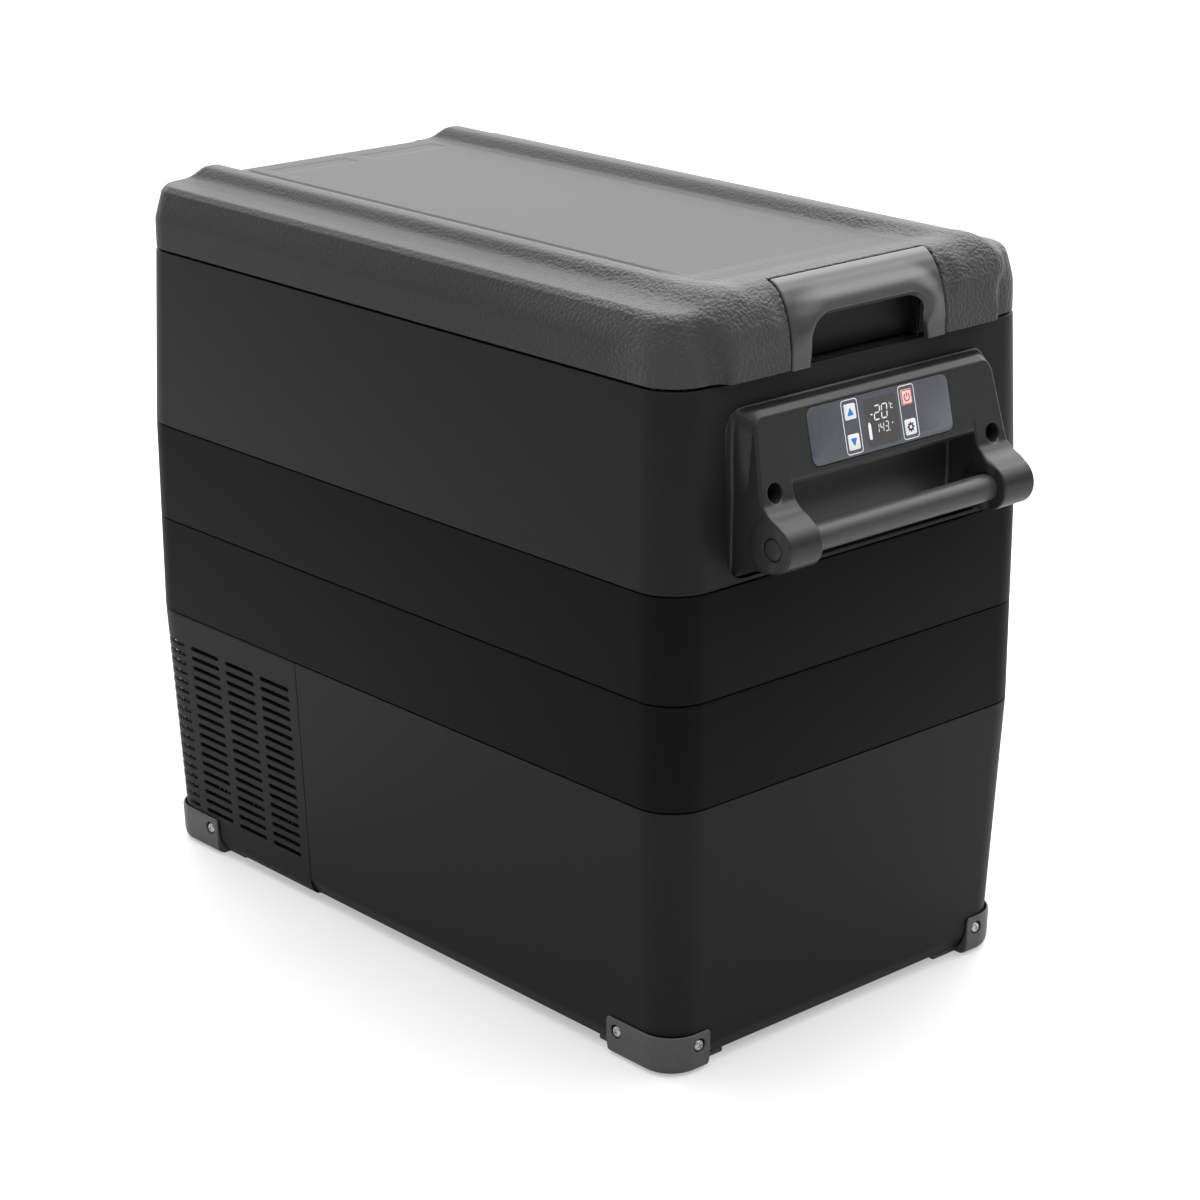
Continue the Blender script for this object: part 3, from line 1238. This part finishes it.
LID_L, LID_W = 294.8, LID_HIGH[1]
LID_R = 30.0
LID_WALL = 5.0
LEDGE_Z, PANEL_SKIN_Z, LID_TOP_Z = 532.0, 535.2, 543.0
POCKET_X = 284.5
BUMP_HALF = 128.6

# Steps over which the front corners' field is averaged, which makes them soft
CORNER_SPREAD = [np.array(step).reshape(3, 1) * 6.5 for step in
                 ((1, 0, 0), (-1, 0, 0), (0, 1, 0), (0, -1, 0), (0, 0, 1), (0, 0, -1), (0, 0, 0))]

crown_side = outline_field(fillet([(0, LID_BOTTOM, 0.8), (0, 506.5, 14), (5.8, 527.6, 3.5), (9.8, 531.3, 3),
                                   (34, LEDGE_Z, 20), (400, LEDGE_Z), (400, LID_BOTTOM)], steps=8))
ridge_side = outline_field(fillet([
    (86, 515), (88, 532.7), (97, 532.7, 6), (102.5, 534.2, 4), (112.3, 542.3, 3), (118, LID_TOP_Z, 8),
    (124, 542.2, 3), (134, 532.2, 6), (141, 530), (141, 515)]))
block_side = outline_field(fillet([
    (-5, 480), (BUMP_HALF, 480), (BUMP_HALF, 506, 20), (133, 527, 6), (133.6, 532.4, 3), (124, 542.2, 3),
    (118, LID_TOP_Z, 8), (-5, LID_TOP_Z)]))
front_limit = outline_field(fillet([(304, 470)] + FRONT_CURVE + [
    (286, 539.4, 12), (278, LID_TOP_Z, 12), (-400, LID_TOP_Z), (-400, 470)], steps=8))
front_side = outline_field(fillet([(200, 500), (304, LID_BOTTOM, 0.8)] + FRONT_CURVE + [
    (286, 539.4, 12), (279, 541.9, 8), (268, 541.4, 30), (246, 535.6, 20), (232, 534.9, 10), (200, 530)], steps=8))


def lid_crown(x, y, z):
    """Outside of the lid: rounded rim, two ridges and the front block."""
    away = np.abs(y)
    inset = -rectangle_field(x, y, LID_L, LID_W, LID_R)
    crown = crown_side(inset, z)
    rear_slope = -x - 286 + (z - 530) * 0.9
    ridge = meet(ridge_side(away, z), rear_slope, 5)
    ridge = meet(ridge, front_limit(x, z), 4)
    block = meet(front_side(x, z), block_side(away, z), 4)
    return blend(blend(crown, ridge, 3.5), block, 9)


def lid_field(x, y, z):
    x, y, z = np.broadcast_arrays(x, y, z)
    away = np.abs(y)
    top = lid_crown(x, y, z)
    share = smooth(x, 232, 262) * smooth(away, 110, 124) * smooth(z, 492, 503)
    near = share > 0
    at = np.stack([x[near], y[near], z[near]])
    spread = [lid_crown(*(at + step)) for step in CORNER_SPREAD]
    top[near] += (sum(spread) / len(spread) - top[near]) * share[near]
    dip = 0.5 * (1 - smooth(rectangle_field(x + 243, away - 44, 10, 38, 3), -3, 0.5))
    panel = meet(rectangle_field(x + 1.5, y, 267.5, 91.2, 10), z - PANEL_SKIN_Z + dip, 2.4)
    top = np.minimum(top, panel)
    hollow = rectangle_field(x, y, LID_L - LID_WALL, LID_W - LID_WALL, LID_R - LID_WALL)
    hollow = meet(hollow, z - 506, 2)
    upper = meet(rectangle_field(x, y, LID_L - 16, LID_W - 16, LID_R - 6), z - 522, 2)
    top = np.maximum(np.maximum(top, -hollow), -upper)
    pocket = np.maximum(np.maximum(POCKET_X - x, away - GRIP_HALF - 0.7), z - 520)
    notch = np.maximum(np.maximum(279.1 - x, away - GRIP_HALF - 0.7), 526 - z - (x - 279.1) * 4.5)
    cup = np.maximum(np.maximum(np.maximum(POCKET_X - 2.8 - x, away - 57.8), z - 519.9), x - POCKET_X - 1)
    top = meet(top, -np.minimum(pocket, notch), 0.8)
    top = np.maximum(top, -cup)
    top = np.maximum(top, LID_BOTTOM - z)
    return np.maximum(top, 2.0 - np.hypot(x - PIVOT_X, z - PIVOT_Z) - 1e3 * (away > GRIP_HALF + 4))


lid = sculpt("lid_skin", lid_field, (-LID_L - 3, -LID_W - 3, LID_BOTTOM - 2.6),
             (307, LID_W + 3, LID_TOP_Z + 2), LID_GRID)
settle(lid, lid_plastic, "lid", "lid_grey", "lid_top")


# ---- Inside of the box, machine bay, hinges and basket ----

def finish_node(node, made):
    """Better material for a CAD node whose shape is right."""
    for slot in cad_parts[node].material_slots:
        slot.link = "OBJECT"
        slot.material = made


SOFTENED = (
    ("tank_rim", satin_plastic, "cabinet", "shell_grey", 0.8),
    ("base_plate", sheet_metal, "cabinet", "steel", 0.4),
    ("compressor_mounts", rubber, "cabinet", "rubber_black", 0.6),
    ("compressor_bolts", steel, "cabinet", "steel", 0.3),
    ("fan_frame", dark_plastic, "cabinet", "black_plastic", 0.5),
    ("fan_rotor", dark_plastic, "fan", "black_plastic", 0.3),
    ("control_electronics", board_lacquer, "cabinet", "board_green", 0.2),
    ("display_board", board_lacquer, "cabinet", "board_green", 0.2),
    ("heat_sink", sheet_metal, "cabinet", "sheet_aluminium", 0.2),
    ("filter_drier", copper, "cabinet", "copper", 0.3),
    ("power_socket", dark_plastic, "cabinet", "black_plastic", 0.4),
    ("hinge_brackets", dark_plastic, "cabinet", "black_plastic", 0.5),
    ("hinge_knuckles", dark_plastic, "lid", "black_plastic", 0.5),
    ("hinge_pins", steel, "cabinet", "steel", 0.3),
    ("latch_strikes", steel, "cabinet", "steel", 0.25),
    ("latch_pin", steel, "lid", "steel", 0.25),
    ("grip_recess", dark_plastic, "lid", "black_plastic", 0.4),
    ("lid_gasket", rubber, "lid", "rubber_black", 0.5),
    ("lamp_lens", lens_plastic, "cabinet", "lens", 0.4),
    ("bail_grip", dark_plastic, "bail", "black_plastic", 0.8),
)
for node, made, body, slot, width in SOFTENED:
    soften(node, node + "_part", made, body, slot, width)
for made, *nodes in (
        (foam_core, "foam_insulation", "lid_foam"), (sheet_metal, "evaporator_plate", "condenser"),
        (copper, "refrigerant_pipes"), (steel, "latch_spring"), (compressor_paint, "compressor"),
        (coated_wire, "basket_floor", "basket_sides", "basket_ends", "basket_corners", "basket_bail"),
        (tank_plastic, "inner_tank", "lid_liner")):
    for node in nodes:
        finish_node(node, made)
